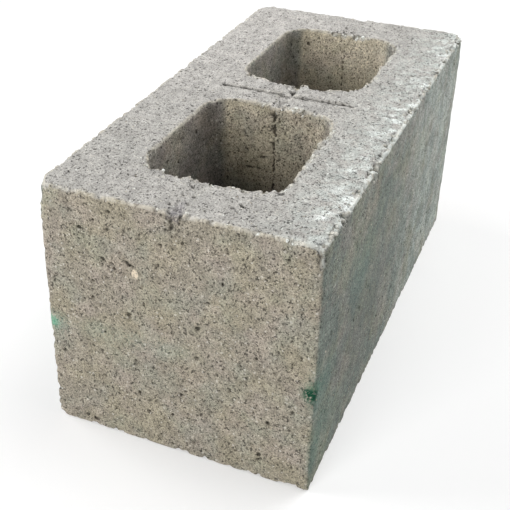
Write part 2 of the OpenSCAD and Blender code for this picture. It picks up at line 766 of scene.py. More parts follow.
    def pit_faces(self) -> None:
        """Open the voids that the nearly dry mix leaves in its faces, in loose clusters."""
        near = np.argwhere(np.abs(self.cast) < 0.5)
        places = (near + self.grid.low) * self.grid.voxel
        half = self.high_corner - 4
        outer = (np.abs(places[:, 0]) > half[0]) | (np.abs(places[:, 1]) > half[1])
        under = places[:, 2] < 2
        clusters = self.grid.noise(self.pit_cluster, self.rng)[tuple(near.T)]
        chance = np.where(under, self.pits_under, np.where(outer, 1.0, self.pits_inside))
        chance = chance * (self.pit_alone + self.pit_clustered * clusters.clip(0, 1))
        chance *= 1 - self.pit_off_arris * self.corner[tuple(near.T)].clip(0, 1)
        picks = self.rng.choice(len(places), self.pits, replace=False, p=chance / chance.sum())
        small, large = self.pit_radius
        for place in places[picks]:
            radius = small + (large - small) * self.rng.random() ** self.pit_rarity
            for _ in range(self.rng.integers(*self.pit_hollows)):
                centre = place + self.rng.uniform(-self.pit_apart, self.pit_apart, 3) * radius
                radii = radius * self.rng.uniform(*self.pit_shape, 3)
                self.grid.carve(centre, radii, self.ragged)

    def drag_rows(self) -> None:
        """Open the rows of pits that the mould's bars left."""
        for row in self.form.rows():
            start, end, stretch = (np.array(v) for v in (row.start, row.end, row.stretch))
            count = int(np.linalg.norm(end - start) / row.spacing) + 1
            for share in np.linspace(0, 1, count):
                centre = start + (end - start) * share + self.rng.normal(0, row.spread, 3)
                radius = self.rng.uniform(*row.radius)
                self.grid.carve(centre, radius * stretch, self.ragged)

    def thin(self, skin: bpy.types.Object) -> None:
        """Bring the skin under its most triangles, keeping them where it bends.

        Args:
            skin: the skin, which gets the thinned mesh.
        """
        modifier = skin.modifiers.new("thin", "DECIMATE")
        modifier.ratio = self.most_triangles / triangle_count(skin.data)
        graph = bpy.context.evaluated_depsgraph_get()
        thinned = bpy.data.meshes.new_from_object(skin.evaluated_get(graph))
        skin.modifiers.remove(modifier)
        skin.data = thinned

    def store_history(self, mesh: bpy.types.Mesh) -> None:
        """Store on each point how worn and how deep it is, and which face it was cast on.

        Args:
            mesh: the skin's mesh in metres, which gets one attribute for each record.
        """
        points = np.empty(len(mesh.vertices) * 3, np.float32)
        mesh.vertices.foreach_get("co", points)
        points = points.reshape(-1, 3) / MM
        look_down, look_across, wall = 4, 2, 5
        below = self.grid.sample(self.cast, points - (0, 0, look_down))
        high = smooth_step(points[:, 2], self.high_corner[2] - 7, self.high_corner[2] - 4)
        inner = self.high_corner - wall
        core = np.all(np.abs(points) < (*inner[:2], inner[2] + 3), axis=1).astype(float)
        across = np.array((0, look_across, 0))
        before, after = (self.grid.sample(self.cast, points + s * across) for s in (-1, 1))
        shell = smooth_step(np.abs(after - before), 1.8, 3.2)
        top = high * smooth_step(-below, 0.4, 2.4)
        worn = np.clip(self.grid.sample(self.corner, points), 0, 1)
        off_floor = smooth_step(points[:, 2], 4, 7)
        history = {
            Record.WORN: worn,
            Record.DEPTH: np.clip(-self.grid.sample(self.cast, points), 0, 6),
            Record.TOP: top,
            Record.SHELL: shell,
            Record.CORE: core,
            Record.CRUMBLED: off_floor * np.clip(self.grid.sample(self.crumbled, points), 0, 1),
            Record.BARE: off_floor * (1 - core) * (1 - 0.85 * shell) * (1 - 0.9 * top) * (1 - worn),
        }
        for record, values in history.items():
            attribute = mesh.attributes.new(record.value, "FLOAT", "POINT")
            attribute.data.foreach_set("value", values.astype(np.float32))


# ---------------------------------------------------------------------------------------
# The finishes
# ---------------------------------------------------------------------------------------


@dataclass(frozen=True)
class Layers:
    """A material's node tree, and the steps by which patterns and colours are laid in it."""

    tree: Tree
    half: np.ndarray

    def add(
        self,
        kind: str,
        settings: dict[str, Any] | None = None,
        values: dict[str | int, Any] | None = None,
        links: dict[str | int, Socket] | None = None,
    ) -> bpy.types.Node:
        """Add one node, as add_node does."""
        return add_node(self.tree, kind, settings, values, links)

    def over(self, colour: Socket, mask: Socket, paint: str, strength: float) -> Socket:
        """Lay a colour over another.

        Args:
            colour: the colour beneath.
            mask: 1 where it is covered.
            paint: the colour on top, as "#rrggbb".
            strength: how much of it is covered there, from 0 to 1.

        Returns:
            The mixed colour.
        """
        share = self.add("ShaderNodeMath", {"operation": "MULTIPLY"}, {1: strength}, {0: mask})
        links = {0: share.outputs[0], 6: colour}
        return self.add("ShaderNodeMix", {"data_type": "RGBA"}, {7: linear(paint)}, links).outputs[2]

    def shade(self, colour: Socket, pattern: Socket, darkest: float, lightest: float) -> Socket:
        """Darken and lighten a colour by a noise pattern.

        Args:
            colour: the colour to change.
            pattern: noise that keeps mostly between 0.25 and 0.75.
            darkest: the brightness where the noise is low.
            lightest: the brightness where it is high.

        Returns:
            The shaded colour.
        """
        limits = {"From Min": 0.25, "From Max": 0.75, "To Min": darkest, "To Max": lightest}
        level = self.add("ShaderNodeMapRange", values=limits, links={"Value": pattern})
        links = {0: colour, "Scale": level.outputs["Result"]}
        return self.add("ShaderNodeVectorMath", {"operation": "SCALE"}, links=links).outputs[0]

    def calm(self, pattern: Socket, mask: Socket, share: float) -> Socket:
        """Weaken a noise pattern.

        Args:
            pattern: noise around 0.5.
            mask: 1 where it is weakened.
            share: how far it is drawn towards 0.5 there, from 0 to 1.

        Returns:
            The weaker pattern.
        """
        part = self.add("ShaderNodeMath", {"operation": "MULTIPLY"}, {1: share}, {0: mask})
        links = {0: part.outputs[0], 2: pattern}
        return self.add("ShaderNodeMix", {"data_type": "FLOAT"}, {3: 0.5}, links).outputs[0]

    def ramp(self, place: Socket, axis: Axis, low: float, high: float) -> Socket:
        """Rise smoothly along an axis.

        Args:
            place: where the ramp is read, in metres.
            axis: the axis that it runs along.
            low: where it is 0, as a share of the block's half length, half width or height.
            high: where it is 1, in the same share.

        Returns:
            The ramp, from 0 to 1.
        """
        parts = self.add("ShaderNodeSeparateXYZ", links={"Vector": place})
        half = self.half[axis.value]
        limits = {"From Min": low * half, "From Max": high * half}
        along_axis = {"Value": parts.outputs[axis.value]}
        return self.add("ShaderNodeMapRange", SMOOTH, limits, along_axis).outputs["Result"]

    def product(self, *masks: Socket) -> Socket:
        """Multiply masks together.

        Args:
            masks: two masks or more.

        Returns:
            Their product.
        """
        result = masks[0]
        for mask in masks[1:]:
            node = self.add("ShaderNodeMath", {"operation": "MULTIPLY"}, links={0: result, 1: mask})
            result = node.outputs[0]
        return result

    def relief(self, parts: tuple[tuple[Socket, float], ...]) -> Socket:
        """Add up fine relief.

        Args:
            parts: each pattern, with its height in millimetres.

        Returns:
            The height of the surface in millimetres.
        """
        total: Socket | None = None
        for pattern, height in parts:
            links = {0: pattern} if total is None else {0: pattern, 2: total}
            values = {1: height, 2: 0.0}
            total = self.add("ShaderNodeMath", {"operation": "MULTIPLY_ADD"}, values, links).outputs[0]
        return total

    def ragged(self, place: Socket) -> Socket:
        """Push places about, so that no spot or edge that is read there is round.

        Args:
            place: the true place in metres.

        Returns:
            The place, up to about 0.8 mm away.
        """
        width = 1.6
        reach = (width * MM,) * 3
        scale = {"Scale": per_mm(width), "Detail": 2.0}
        wobble = self.add("ShaderNodeTexNoise", values=scale, links={"Vector": place})
        from_middle = {0: wobble.outputs["Color"]}
        centred = self.add(
            "ShaderNodeVectorMath", {"operation": "SUBTRACT"}, {1: (0.5, 0.5, 0.5)}, from_middle
        )
        links = {0: centred.outputs[0], 2: place}
        return self.add("ShaderNodeVectorMath", {"operation": "MULTIPLY_ADD"}, {1: reach}, links).outputs[0]


@dataclass(frozen=True)
class Specks:
    """Ragged round spots, at most one to a cell of the given spacing. Sizes in millimetres."""

    spacing: float
    share: float
    radius: tuple[float, float]

    def mask(self, layers: Layers, place: Socket) -> Socket:
        """Draw the spots.

        Args:
            layers: the material's layers.
            place: where the pattern is read, in metres.

        Returns:
            1 inside a spot and 0 between them.
        """
        scale = {"Scale": per_mm(self.spacing)}
        cells = layers.add("ShaderNodeTexVoronoi", values=scale, links={"Vector": place})
        chance = layers.add("ShaderNodeSeparateColor", links={"Color": cells.outputs["Color"]})
        chosen = layers.add(
            "ShaderNodeMath", {"operation": "LESS_THAN"}, {1: self.share}, {0: chance.outputs["Red"]}
        )
        smallest, largest = (radius / self.spacing for radius in self.radius)
        radius = layers.add(
            "ShaderNodeMapRange", values={"To Min": smallest, "To Max": largest},
            links={"Value": chance.outputs["Green"]},
        )
        reach = layers.add(
            "ShaderNodeMath", {"operation": "DIVIDE"},
            links={0: cells.outputs["Distance"], 1: radius.outputs["Result"]},
        )
        edge = {"From Min": 1.15, "From Max": 0.6}
        spot = layers.add("ShaderNodeMapRange", SMOOTH, edge, {"Value": reach.outputs[0]})
        return layers.product(chosen.outputs[0], spot.outputs["Result"])


@dataclass(frozen=True)
class Cloud:
    """Soft patches of the given size in millimetres, covering more as the threshold falls."""

    size: float
    threshold: float = 0.5
    softness: float = 0.12
    detail: float = 3.0
    shift: float = 0.0

    def mask(self, layers: Layers, place: Socket) -> Socket:
        """Draw the patches.

        Args:
            layers: the material's layers.
            place: where the pattern is read, in metres.

        Returns:
            1 inside a patch and 0 between them.
        """
        shift = {"Location": (self.shift, 0, self.shift)}
        moved = layers.add("ShaderNodeMapping", values=shift, links={"Vector": place})
        noise = layers.add(
            "ShaderNodeTexNoise",
            values={"Scale": per_mm(self.size), "Detail": self.detail, "Roughness": 0.6},
            links={"Vector": moved.outputs[0]},
        )
        edge = {"From Min": self.threshold - self.softness, "From Max": self.threshold + self.softness}
        patch = layers.add("ShaderNodeMapRange", SMOOTH, edge, {"Value": noise.outputs["Fac"]})
        return patch.outputs["Result"]


@dataclass(frozen=True)
class Stain:
    """A patch of another colour: strap plastic rubbed into an arris, one cut stone, a tint, or painted
    shade.

    Its colour is full inside the core, as a share of its reach in millimetres.
    """

    place: Place
    reach: Place
    colour: str
    strength: float
    core: float = 0.45

    def lay(self, layers: Layers, colour: Socket, place: Socket) -> Socket:
        """Lay the stain over a colour, broken up by the grain of the face.

        Args:
            layers: the material's layers.
            colour: the colour under it.
            place: where the stain is read, in metres.

        Returns:
            The stained colour.
        """
        centre = tuple(v * MM for v in self.place)
        centred = layers.add("ShaderNodeVectorMath", {"operation": "SUBTRACT"}, {1: centre}, {0: place})
        reach = tuple(v * MM for v in self.reach)
        scaled = layers.add(
            "ShaderNodeVectorMath", {"operation": "DIVIDE"}, {1: reach}, {0: centred.outputs[0]}
        )
        away = layers.add("ShaderNodeVectorMath", {"operation": "LENGTH"}, links={0: scaled.outputs[0]})
        edge = {"From Min": 1.0, "From Max": self.core}
        near = layers.add("ShaderNodeMapRange", SMOOTH, edge, {"Value": away.outputs["Value"]})
        grain = Cloud(2.5, 0.42, 0.10, shift=2.3).mask(layers, place)
        mask = layers.product(near.outputs["Result"], grain)
        return layers.over(colour, mask, self.colour, self.strength)


@dataclass(frozen=True)
class PressedConcrete:
    """Dense-aggregate concrete, pressed nearly dry into a steel mould: open, matt and sandy.

    The mould leaves the ends and webs warm, open and pitted, and the shells smoother and cooler,
    with the shells painted darker as painted shade. The tamper leaves the top paler, and cement
    milk has bled along one side of it; the top and the webs are painted paler still as painted light.
    """

    half: np.ndarray
    name: str = "pressed_dense_concrete"
    # The faces: a warm grey end; buff webs and a pale tamped top, both painted paler as painted light; cool
    # smooth shells, painted darker as painted shade
    ends: str = "#989183"
    webs: str = "#b6ad99"
    shells: str = "#747c75"
    inner_shells: str = "#8c8882"
    top: str = "#b0aeaa"
    # The top pales towards the far left; painted light pales the cells' upper webs, and painted shade
    # darkens the near cell low down
    far_left_top: str = "#cac6c2"
    painted_light_web: str = "#d3c9b4"
    painted_cell_shade: str = "#605d5b"
    # Cement milk gives a bluish film, and lime the white streaks by the right arris
    milk: str = "#ccd4cf"
    lime: str = "#eef4f1"
    # The mix: pale and dark sand, the paste's drifting tints, the painted shade of open voids, and fresh
    # breaks
    pale_sand: str = "#dcd7cc"
    dark_sand: str = "#67625a"
    buff_tint: str = "#a39b7e"
    pink_tint: str = "#aa9d96"
    green_tint: str = "#8c978b"
    shadow: str = "#1f1d1a"
    broken: str = "#d8d2c4"
    # Widths in millimetres: grit as it is, and fine sand drawn coarser, since grains of half
    # a millimetre would not show
    grit_width: float = 4.5
    sand_width: float = 1.35
    # Dry cement has almost no sheen
    roughness: float = 0.93
    specular: float = 0.25
    stains: tuple[Stain, ...] = (
        # Painted shade: a large grey patch darkens the near half of the right side
        Stain((-90.0, -107.5, 90.0), (150.0, 6.0, 110.0), "#5d625f", 0.5, 0.0),
        Stain((-110.0, -107.5, 140.0), (90.0, 6.0, 60.0), "#5d8277", 0.25, 0.0),
        Stain((-205.0, -107.5, 40.0), (60.0, 6.0, 60.0), "#57836f", 0.3, 0.0),
        Stain((-214.0, -107.0, 96.0), (56.0, 10.0, 34.0), "#4f7f6e", 0.38, 0.0),
        Stain((-220.0, 40.0, 97.0), (6.0, 90.0, 16.0), "#8fa596", 0.18, 0.0),
        Stain((-220.0, 103.0, 94.0), (8.0, 20.0, 17.0), "#7fa595", 0.4, 0.0),
        Stain((-220.0, 105.0, 94.0), (6.0, 9.0, 8.0), "#62a78a", 0.7, 0.2),
        Stain((-220.0, -106.0, 94.0), (16.0, 15.0, 15.0), "#2f7459", 0.5, 0.0),
        Stain((-220.0, -105.0, 93.0), (9.0, 9.0, 8.0), "#0a4530", 1.0, 0.4),
        Stain((219.0, -107.5, 84.0), (7.0, 5.0, 9.0), "#3f8468", 0.7),
        # Partly painted shade: a violet tint in the bar's seat, darkened to stand in for the shade in that
        # dip
        Stain((-220.0, 0.0, 213.0), (22.0, 6.5, 9.0), "#716d74", 0.5),
        Stain((-221.0, 31.0, 157.0), (3.4, 3.1, 4.4), "#d9cab4", 1.0, 0.8),
    )

    def build(self) -> bpy.types.Material:
        """Make the material.

        Returns:
            The finished material, which reads the skin's records.
        """
        material, layers = new_material(self.name, self.half)
        place = layers.add("ShaderNodeTexCoord").outputs["Object"]
        ragged = layers.ragged(place)
        history = {
            record: layers.add("ShaderNodeAttribute", {"attribute_name": record.value}).outputs["Fac"]
            for record in (Record.WORN, Record.DEPTH, Record.TOP, Record.SHELL, Record.CORE)
        }
        sand, grit = (
            layers.add("ShaderNodeTexNoise", values=values, links={"Vector": place}).outputs["Fac"]
            for values in (
                {"Scale": per_mm(self.sand_width), "Detail": 2.0, "Roughness": 0.75},
                {"Scale": per_mm(self.grit_width), "Detail": 2.0, "Roughness": 0.6},
            )
        )
        sand = layers.calm(sand, history[Record.TOP], 0.35)
        open_patches = Cloud(14, 0.5, 0.25, shift=8.3).mask(layers, place)
        rough = layers.calm(open_patches, history[Record.SHELL], 0.5)
        blotch = Cloud(10, 0.5, 0.25, shift=9.7).mask(layers, place)
        pale = Specks(3.6, 0.2, (0.5, 1.3)).mask(layers, ragged)
        dark = Specks(2.4, 0.2, (0.35, 0.8)).mask(layers, ragged)
        holes = layers.product(Specks(3.0, 0.46, (0.45, 1.0)).mask(layers, ragged), rough)
        pits = Cloud(2.1, 0.64, 0.03, detail=1.5, shift=3.1).mask(layers, ragged)
        small_pits = Cloud(1.2, 0.635, 0.04, detail=1.0, shift=4.7).mask(layers, place)

        colour = self.paste(layers, place, history)
        for pattern, darkest, lightest in ((sand, 0.42, 1.56), (grit, 0.86, 1.14), (blotch, 0.9, 1.1)):
            colour = layers.shade(colour, pattern, darkest, lightest)
        # Painted shade: holes and pits too small for the skin are painted in the shadow colour
        for mask, paint, strength in (
            (pale, self.pale_sand, 0.5),
            (dark, self.dark_sand, 0.45),
            (holes, self.shadow, 0.9),
            (pits, self.shadow, 0.7),
            (small_pits, self.shadow, 0.55),
        ):
            colour = layers.over(colour, mask, paint, strength)
        colour = self.weather_and_shade_pits(layers, colour, ragged, history)
        for stain in self.stains:
            colour = stain.lay(layers, colour, ragged)
        relief = layers.relief(((sand, 0.7), (grit, 0.5), (pale, 0.15), (pits, -0.6), (holes, -0.8)))
        finish(layers, colour, relief, MM, 1.0, self.roughness, self.specular)
        return material

    def paste(self, layers: Layers, place: Socket, history: dict[Record, Socket]) -> Socket:
        """Colour the cement paste: its kinds of face, its drifting tints and its milk.

        Args:
            layers: the material's layers.
            place: where the patterns are read, in metres.
            history: what the skin recorded.

        Returns:
            The paste's colour.
        """
        top, shell, core = (history[record] for record in (Record.TOP, Record.SHELL, Record.CORE))
        # Painted light: the cells' webs get a paler colour than the ends, to make up for the shade inside
        # the cells
        faces = {6: linear(self.ends), 7: linear(self.webs)}
        colour = layers.add("ShaderNodeMix", {"data_type": "RGBA"}, faces, {0: core}).outputs[2]
        far = layers.ramp(place, Axis.X, -0.3, 0.8)
        near = layers.ramp(place, Axis.X, 0.3, -0.1)
        left = layers.ramp(place, Axis.Y, 0.05, 0.35)
        high = layers.ramp(place, Axis.Z, 0.55, 0.95)
        # Painted shade: this ramp leans across the near cell, so its painted shadow reaches higher on the
        # left, like a cast shadow
        lean = {"Rotation": (-0.67, 0, 0)}
        leaning = layers.add("ShaderNodeMapping", values=lean, links={"Vector": place}).outputs[0]
        low = layers.ramp(leaning, Axis.Z, 0.58, 0.24)
        for mask, paint, strength in (
            # Painted light: the upper parts of the webs in the cells are paler towards the far end and the
            # left, where light reaches in
            (layers.product(core, far, high), self.painted_light_web, 0.75),
            (layers.product(core, left, high), self.painted_light_web, 0.75),
            # Painted shade: the shells' cool colour is also darker, standing in for the shade on the
            # block's sides
            (shell, self.shells, 1.0),
            (layers.product(shell, core), self.inner_shells, 1.0),
            # Painted shade: the near cell darkens low down
            (layers.product(core, near, low), self.painted_cell_shade, 0.95),
            (Cloud(38, 0.52, 0.12, shift=0.3).mask(layers, place), self.buff_tint, 0.3),
            (Cloud(30, 0.55, 0.10, shift=0.7).mask(layers, place), self.pink_tint, 0.3),
            (Cloud(34, 0.56, 0.10, shift=1.1).mask(layers, place), self.green_tint, 0.25),
            (self.side_film(layers, place, shell), self.milk, 0.36),
            # Partly painted light: the tamped top is pale, and it is painted paler still to stand in for
            # light from above
            (top, self.top, 0.9),
            *self.top_bloom(layers, place, top),
        ):
            colour = layers.over(colour, mask, paint, strength)
        return colour

    def side_film(self, layers: Layers, place: Socket, shell: Socket) -> Socket:
        """Mark where dry cement milk lies on the far part of the right side.

        Args:
            layers: the material's layers.
            place: where the patterns are read, in metres.
            shell: the record of the shells' faces.

        Returns:
            1 where the film lies.
        """
        return layers.product(
            shell,
            layers.ramp(place, Axis.X, -0.4, 0.7),
            layers.ramp(place, Axis.Y, -0.9, -0.97),
            Cloud(30, 0.42, 0.2, shift=2.9).mask(layers, place),
        )

    def top_bloom(
        self, layers: Layers, place: Socket, top: Socket
    ) -> tuple[tuple[Socket, str, float], ...]:
        """Pale the top towards the far left, and lay milk and lime along the right arris.

        Args:
            layers: the material's layers.
            place: where the patterns are read, in metres.
            top: the record of the tamped top.

        Returns:
            Each layer's mask, colour and strength, the lowest first.
        """
        far_left_paling = layers.product(
            top, layers.ramp(place, Axis.X, -0.6, 0.7), layers.ramp(place, Axis.Y, -0.9, 0.6)
        )
        bled = layers.product(
            top,
            layers.ramp(place, Axis.Y, -0.4, -0.95),
            Cloud(11, 0.5, 0.15, shift=1.7).mask(layers, place),
        )
        longer = {"Scale": (1.0, 0.6, 1.0)}
        stretched = layers.add("ShaderNodeMapping", values=longer, links={"Vector": place}).outputs[0]
        runs = layers.product(
            top,
            layers.ramp(place, Axis.Y, -0.68, -0.98),
            Cloud(6.5, 0.54, 0.07, shift=6.1).mask(layers, stretched),
            Cloud(45, 0.47, 0.12, shift=0.9).mask(layers, place),
        )
        return (far_left_paling, self.far_left_top, 0.5), (bled, self.milk, 0.6), (runs, self.lime, 0.75)

    def weather_and_shade_pits(
        self, layers: Layers, colour: Socket, place: Socket, history: dict[Record, Socket]
    ) -> Socket:
        """Lighten the worn arrises, and paint shade into the bottoms of the pits.

        Args:
            layers: the material's layers.
            colour: the colour of the sound concrete.
            place: where the patterns are read, in metres.
            history: what the skin recorded.

        Returns:
            The weathered colour.
        """
        worn = {"Value": history[Record.WORN]}
        limits = {"From Min": 0.35, "From Max": 0.95}
        edge = layers.add("ShaderNodeMapRange", SMOOTH, limits, worn).outputs["Result"]
        high = layers.ramp(place, Axis.Z, 0.9, 0.97)
        crust = layers.product(edge, Cloud(5, 0.46, 0.1, shift=5.3).mask(layers, place))
        limed = layers.product(
            edge,
            layers.ramp(place, Axis.Y, -0.8, -0.95),
            high,
            Cloud(7, 0.45, 0.1, shift=7.7).mask(layers, place),
        )
        # Painted shade: the deeper a point lies under the face as cast, the more shadow colour it gets,
        # except on worn arrises
        limits = {"From Min": 0.7, "From Max": 2.2}
        depth = {"Value": history[Record.DEPTH]}
        hollow = layers.add("ShaderNodeMapRange", SMOOTH, limits, depth).outputs["Result"]
        clamped = {"operation": "SUBTRACT", "use_clamp": True}
        whole = layers.add("ShaderNodeMath", clamped, {0: 1.0}, {1: edge}).outputs[0]
        for mask, paint, strength in (
            (crust, self.broken, 0.08),
            (layers.product(crust, high), self.broken, 0.45),
            (limed, self.lime, 0.6),
            (layers.product(hollow, whole), self.shadow, 0.72),
        ):
            colour = layers.over(colour, mask, paint, strength)
        return colour


@dataclass(frozen=True)
class Stone:
    """Bare aggregate and crumbs of cement, of the colours that a maker's pit sand holds.

    Each grain has one tone of its own, from the darkest to the palest, so that a rim of them
    looks broken and not painted. They are as matt as the concrete, with a dusty speckle.
    """

    name: str
    colours: tuple[str, ...]
    roughness: float = 0.9
    specular: float = 0.3
    speckle: float = 0.9
    speckle_relief: float = 0.3

    def build(self, half: np.ndarray) -> bpy.types.Material:
        """Make the material, which reads each grain's recorded tone.

        Args:
            half: the block's half length, half width and height, in metres.

        Returns:
            The finished material.
        """
        material, layers = new_material(self.name, half)
        tone = layers.add("ShaderNodeAttribute", {"attribute_name": TONE}).outputs["Fac"]
        ramp = layers.add("ShaderNodeValToRGB", links={"Fac": tone})
        last = len(self.colours) - 1
        while len(ramp.color_ramp.elements) <= last:
            ramp.color_ramp.elements.new(0.5)
        for index, colour in enumerate(self.colours):
            ramp.color_ramp.elements[index].position = index / last
            ramp.color_ramp.elements[index].color = linear(colour)
        place = layers.add("ShaderNodeTexCoord").outputs["Object"]
        scale = {"Scale": per_mm(self.speckle), "Detail": 2.0}
        grain = layers.add("ShaderNodeTexNoise", values=scale, links={"Vector": place}).outputs["Fac"]
        limits = {"From Min": 0.3, "From Max": 0.7, "To Min": 0.7, "To Max": 1.2}
        level = layers.add("ShaderNodeMapRange", values=limits, links={"Value": grain})
        links = {0: ramp.outputs["Color"], "Scale": level.outputs["Result"]}
        colour = layers.add("ShaderNodeVectorMath", {"operation": "SCALE"}, links=links).outputs[0]
        finish(layers, colour, grain, self.speckle_relief * MM, 0.6, self.roughness, self.specular)
        return material


def new_material(name: str, half: np.ndarray) -> tuple[bpy.types.Material, Layers]:
    """Start a material with an empty tree.

    Args:
        name: the material's name.
        half: the block's half length, half width and height, in metres.

    Returns:
        The material and its layers.
    """
    material = bpy.data.materials.new(name)
    material.use_nodes = True
    material.node_tree.nodes.clear()
    return material, Layers(material.node_tree, half)


def finish(
    layers: Layers,
    colour: Socket,
    relief: Socket,
    height: float,
    strength: float,
    roughness: float,
    specular: float,
) -> None:
    """End a material's tree in its relief, its sheen and its output.

    Args:
        layers: the material's layers.
        colour: the finished colour.
        relief: the pattern of the fine relief.
        height: how high one unit of the relief is, in metres.
        strength: how strongly the relief shows, from 0 to 1.
        roughness: how matt the surface is, from 0 to 1.
        specular: how much it shines straight back.
    """
    bump = layers.add(
        "ShaderNodeBump", values={"Strength": strength, "Distance": height}, links={"Height": relief}
    )
    surface = layers.add(
        "ShaderNodeBsdfPrincipled",
        values={"Roughness": roughness, "Specular IOR Level": specular},
        links={"Base Color": colour, "Normal": bump.outputs["Normal"]},
    )
    layers.add("ShaderNodeOutputMaterial", links={"Surface": surface.outputs["BSDF"]})


# ---------------------------------------------------------------------------------------
# The grains
# ---------------------------------------------------------------------------------------


@dataclass(frozen=True)
class Grains:
    """Grains scattered over the skin wherever it recorded a value. Lengths in millimetres."""

    name: str
    where: Record
    per_cm2: float
    radius: tuple[float, float]
    proud: float
    seed: int
    stretch: tuple[float, float] = (0.75, 1.15)
    ruggedness: float = 0.6

    def build(self, skin: bpy.types.Object, material: bpy.types.Material) -> bpy.types.Object:
        """Scatter the grains.

        Args:
            skin: the skin that they are bedded in.
            material: what they are made of.

        Returns:
            All the grains as one plain mesh.
        """
        carrier = join_collection(bpy.data.objects.new(self.name, skin.data))
        modifier = carrier.modifiers.new("scatter", "NODES")
        modifier.node_group = self.scatter(material)
        sizes = {
            "Grains per square metre": self.per_cm2 * 1e4,
            "Smallest radius": self.radius[0] * MM,
            "Largest radius": self.radius[1] * MM,
            "Proud share": self.proud,
        }
        for socket in modifier.node_group.interface.items_tree:
            if socket.name in sizes:
                modifier[socket.identifier] = sizes[socket.name]
        graph = bpy.context.evaluated_depsgraph_get()
        mesh = bpy.data.meshes.new_from_object(carrier.evaluated_get(graph))
        carrier.modifiers.remove(modifier)
        carrier.data = mesh
        return carrier

    def scatter(self, material: bpy.types.Material) -> Tree:
        """Build the tree that scatters the grains and gives each its size, turn and tone.

        Args:
            material: what the grains are made of.

        Returns:
            The tree.
        """
        tree = bpy.data.node_groups.new(self.name, "GeometryNodeTree")
        tree.interface.new_socket("Skin", in_out="INPUT", socket_type="NodeSocketGeometry")
        for name in ("Grains per square metre", "Smallest radius", "Largest radius", "Proud share"):
            tree.interface.new_socket(name, in_out="INPUT", socket_type="NodeSocketFloat")
        tree.interface.new_socket("Grains", in_out="OUTPUT", socket_type="NodeSocketGeometry")
        given = add_node(tree, "NodeGroupInput").outputs
        recorded = add_node(
            tree, "GeometryNodeInputNamedAttribute", {"data_type": "FLOAT"}, {"Name": self.where.value}
        ).outputs["Attribute"]
        density = add_node(
            tree, "ShaderNodeMath", {"operation": "MULTIPLY"},
            links={0: recorded, 1: given["Grains per square metre"]},
        )
        points = add_node(
            tree, "GeometryNodeDistributePointsOnFaces", values={"Seed": self.seed},
            links={"Mesh": given["Skin"], "Density": density.outputs[0]},
        )
        size = self.random(tree, "FLOAT", self.seed + 1, ())
        tree.links.new(given["Smallest radius"], size.node.inputs[2])
        tree.links.new(given["Largest radius"], size.node.inputs[3])
        sunk = add_node(
            tree, "ShaderNodeMath", {"operation": "SUBTRACT"}, links={0: given["Proud share"]},
            values={1: 1.0},
        )
        depth = add_node(
            tree, "ShaderNodeMath", {"operation": "MULTIPLY"}, links={0: sunk.outputs[0], 1: size}
        )
        offset = add_node(
            tree, "ShaderNodeVectorMath", {"operation": "SCALE"},
            links={0: points.outputs["Normal"], "Scale": depth.outputs[0]},
        )
        bedded = add_node(
            tree, "GeometryNodeSetPosition",
            links={"Geometry": points.outputs["Points"], "Offset": offset.outputs[0]},
        )
        stretch = self.random(
            tree, "FLOAT_VECTOR", self.seed + 2, ((self.stretch[0],) * 3, (self.stretch[1],) * 3)
        )
        turn = self.random(tree, "FLOAT_VECTOR", self.seed + 3, ((0.0,) * 3, (2 * math.pi,) * 3))
        scale = add_node(
            tree, "ShaderNodeVectorMath", {"operation": "SCALE"}, links={0: stretch, "Scale": size}
        )
        placed = add_node(
            tree, "GeometryNodeInstanceOnPoints",
            links={
                "Points": bedded.outputs[0],
                "Instance": self.crushed(tree),
                "Rotation": turn,
                "Scale": scale.outputs[0],
            },
        )
        tone = self.random(tree, "FLOAT", self.seed + 4, (0.0, 1.0))
        toned = add_node(
            tree, "GeometryNodeStoreNamedAttribute", {"data_type": "FLOAT", "domain": "INSTANCE"},
            {"Name": TONE}, {"Geometry": placed.outputs[0], "Value": tone},
        )
        whole = add_node(tree, "GeometryNodeRealizeInstances", links={"Geometry": toned.outputs[0]})
        finished = add_node(
            tree, "GeometryNodeSetMaterial", values={"Material": material},
            links={"Geometry": whole.outputs[0]},
        )
        add_node(tree, "NodeGroupOutput", links={"Grains": finished.outputs[0]})
        return tree

    def random(self, tree: Tree, kind: str, seed: int, limits: tuple[Any, ...]) -> Socket:
        """Give each grain one random value.

        Args:
            tree: the geometry tree.
            kind: "FLOAT" or "FLOAT_VECTOR".
            seed: the seed of the random values.
            limits: the least and the most, or nothing where links give them.

        Returns:
            The random value.
        """
        first = {"FLOAT_VECTOR": 0, "FLOAT": 2}[kind]
        values = {first + i: limit for i, limit in enumerate(limits)}
        node = add_node(tree, "FunctionNodeRandomValue", {"data_type": kind}, {**values, "Seed": seed})
        return node.outputs[{"FLOAT_VECTOR": 0, "FLOAT": 1}[kind]]

    def crushed(self, tree: Tree) -> Socket:
        """Make one grain of radius 1: a ball of twenty faces, knocked out of true.

        Args:
            tree: the geometry tree.

        Returns:
            The grain.
        """
        ball = add_node(tree, "GeometryNodeMeshIcoSphere", values={"Radius": 1.0, "Subdivisions": 1})
        noise = add_node(tree, "ShaderNodeTexNoise", values={"Scale": 1.3, "Detail": 0.0})
        centred = add_node(
            tree, "ShaderNodeVectorMath", {"operation": "SUBTRACT"}, {1: (0.5, 0.5, 0.5)},
            {0: noise.outputs["Color"]},
        )
        knocked = add_node(
            tree, "ShaderNodeVectorMath", {"operation": "SCALE"}, {"Scale": self.ruggedness},
            {0: centred.outputs[0]},
        )
        return add_node(
            tree, "GeometryNodeSetPosition",
            links={"Geometry": ball.outputs["Mesh"], "Offset": knocked.outputs[0]},
        ).outputs[0]


# ---------------------------------------------------------------------------------------
# The studio
# ---------------------------------------------------------------------------------------


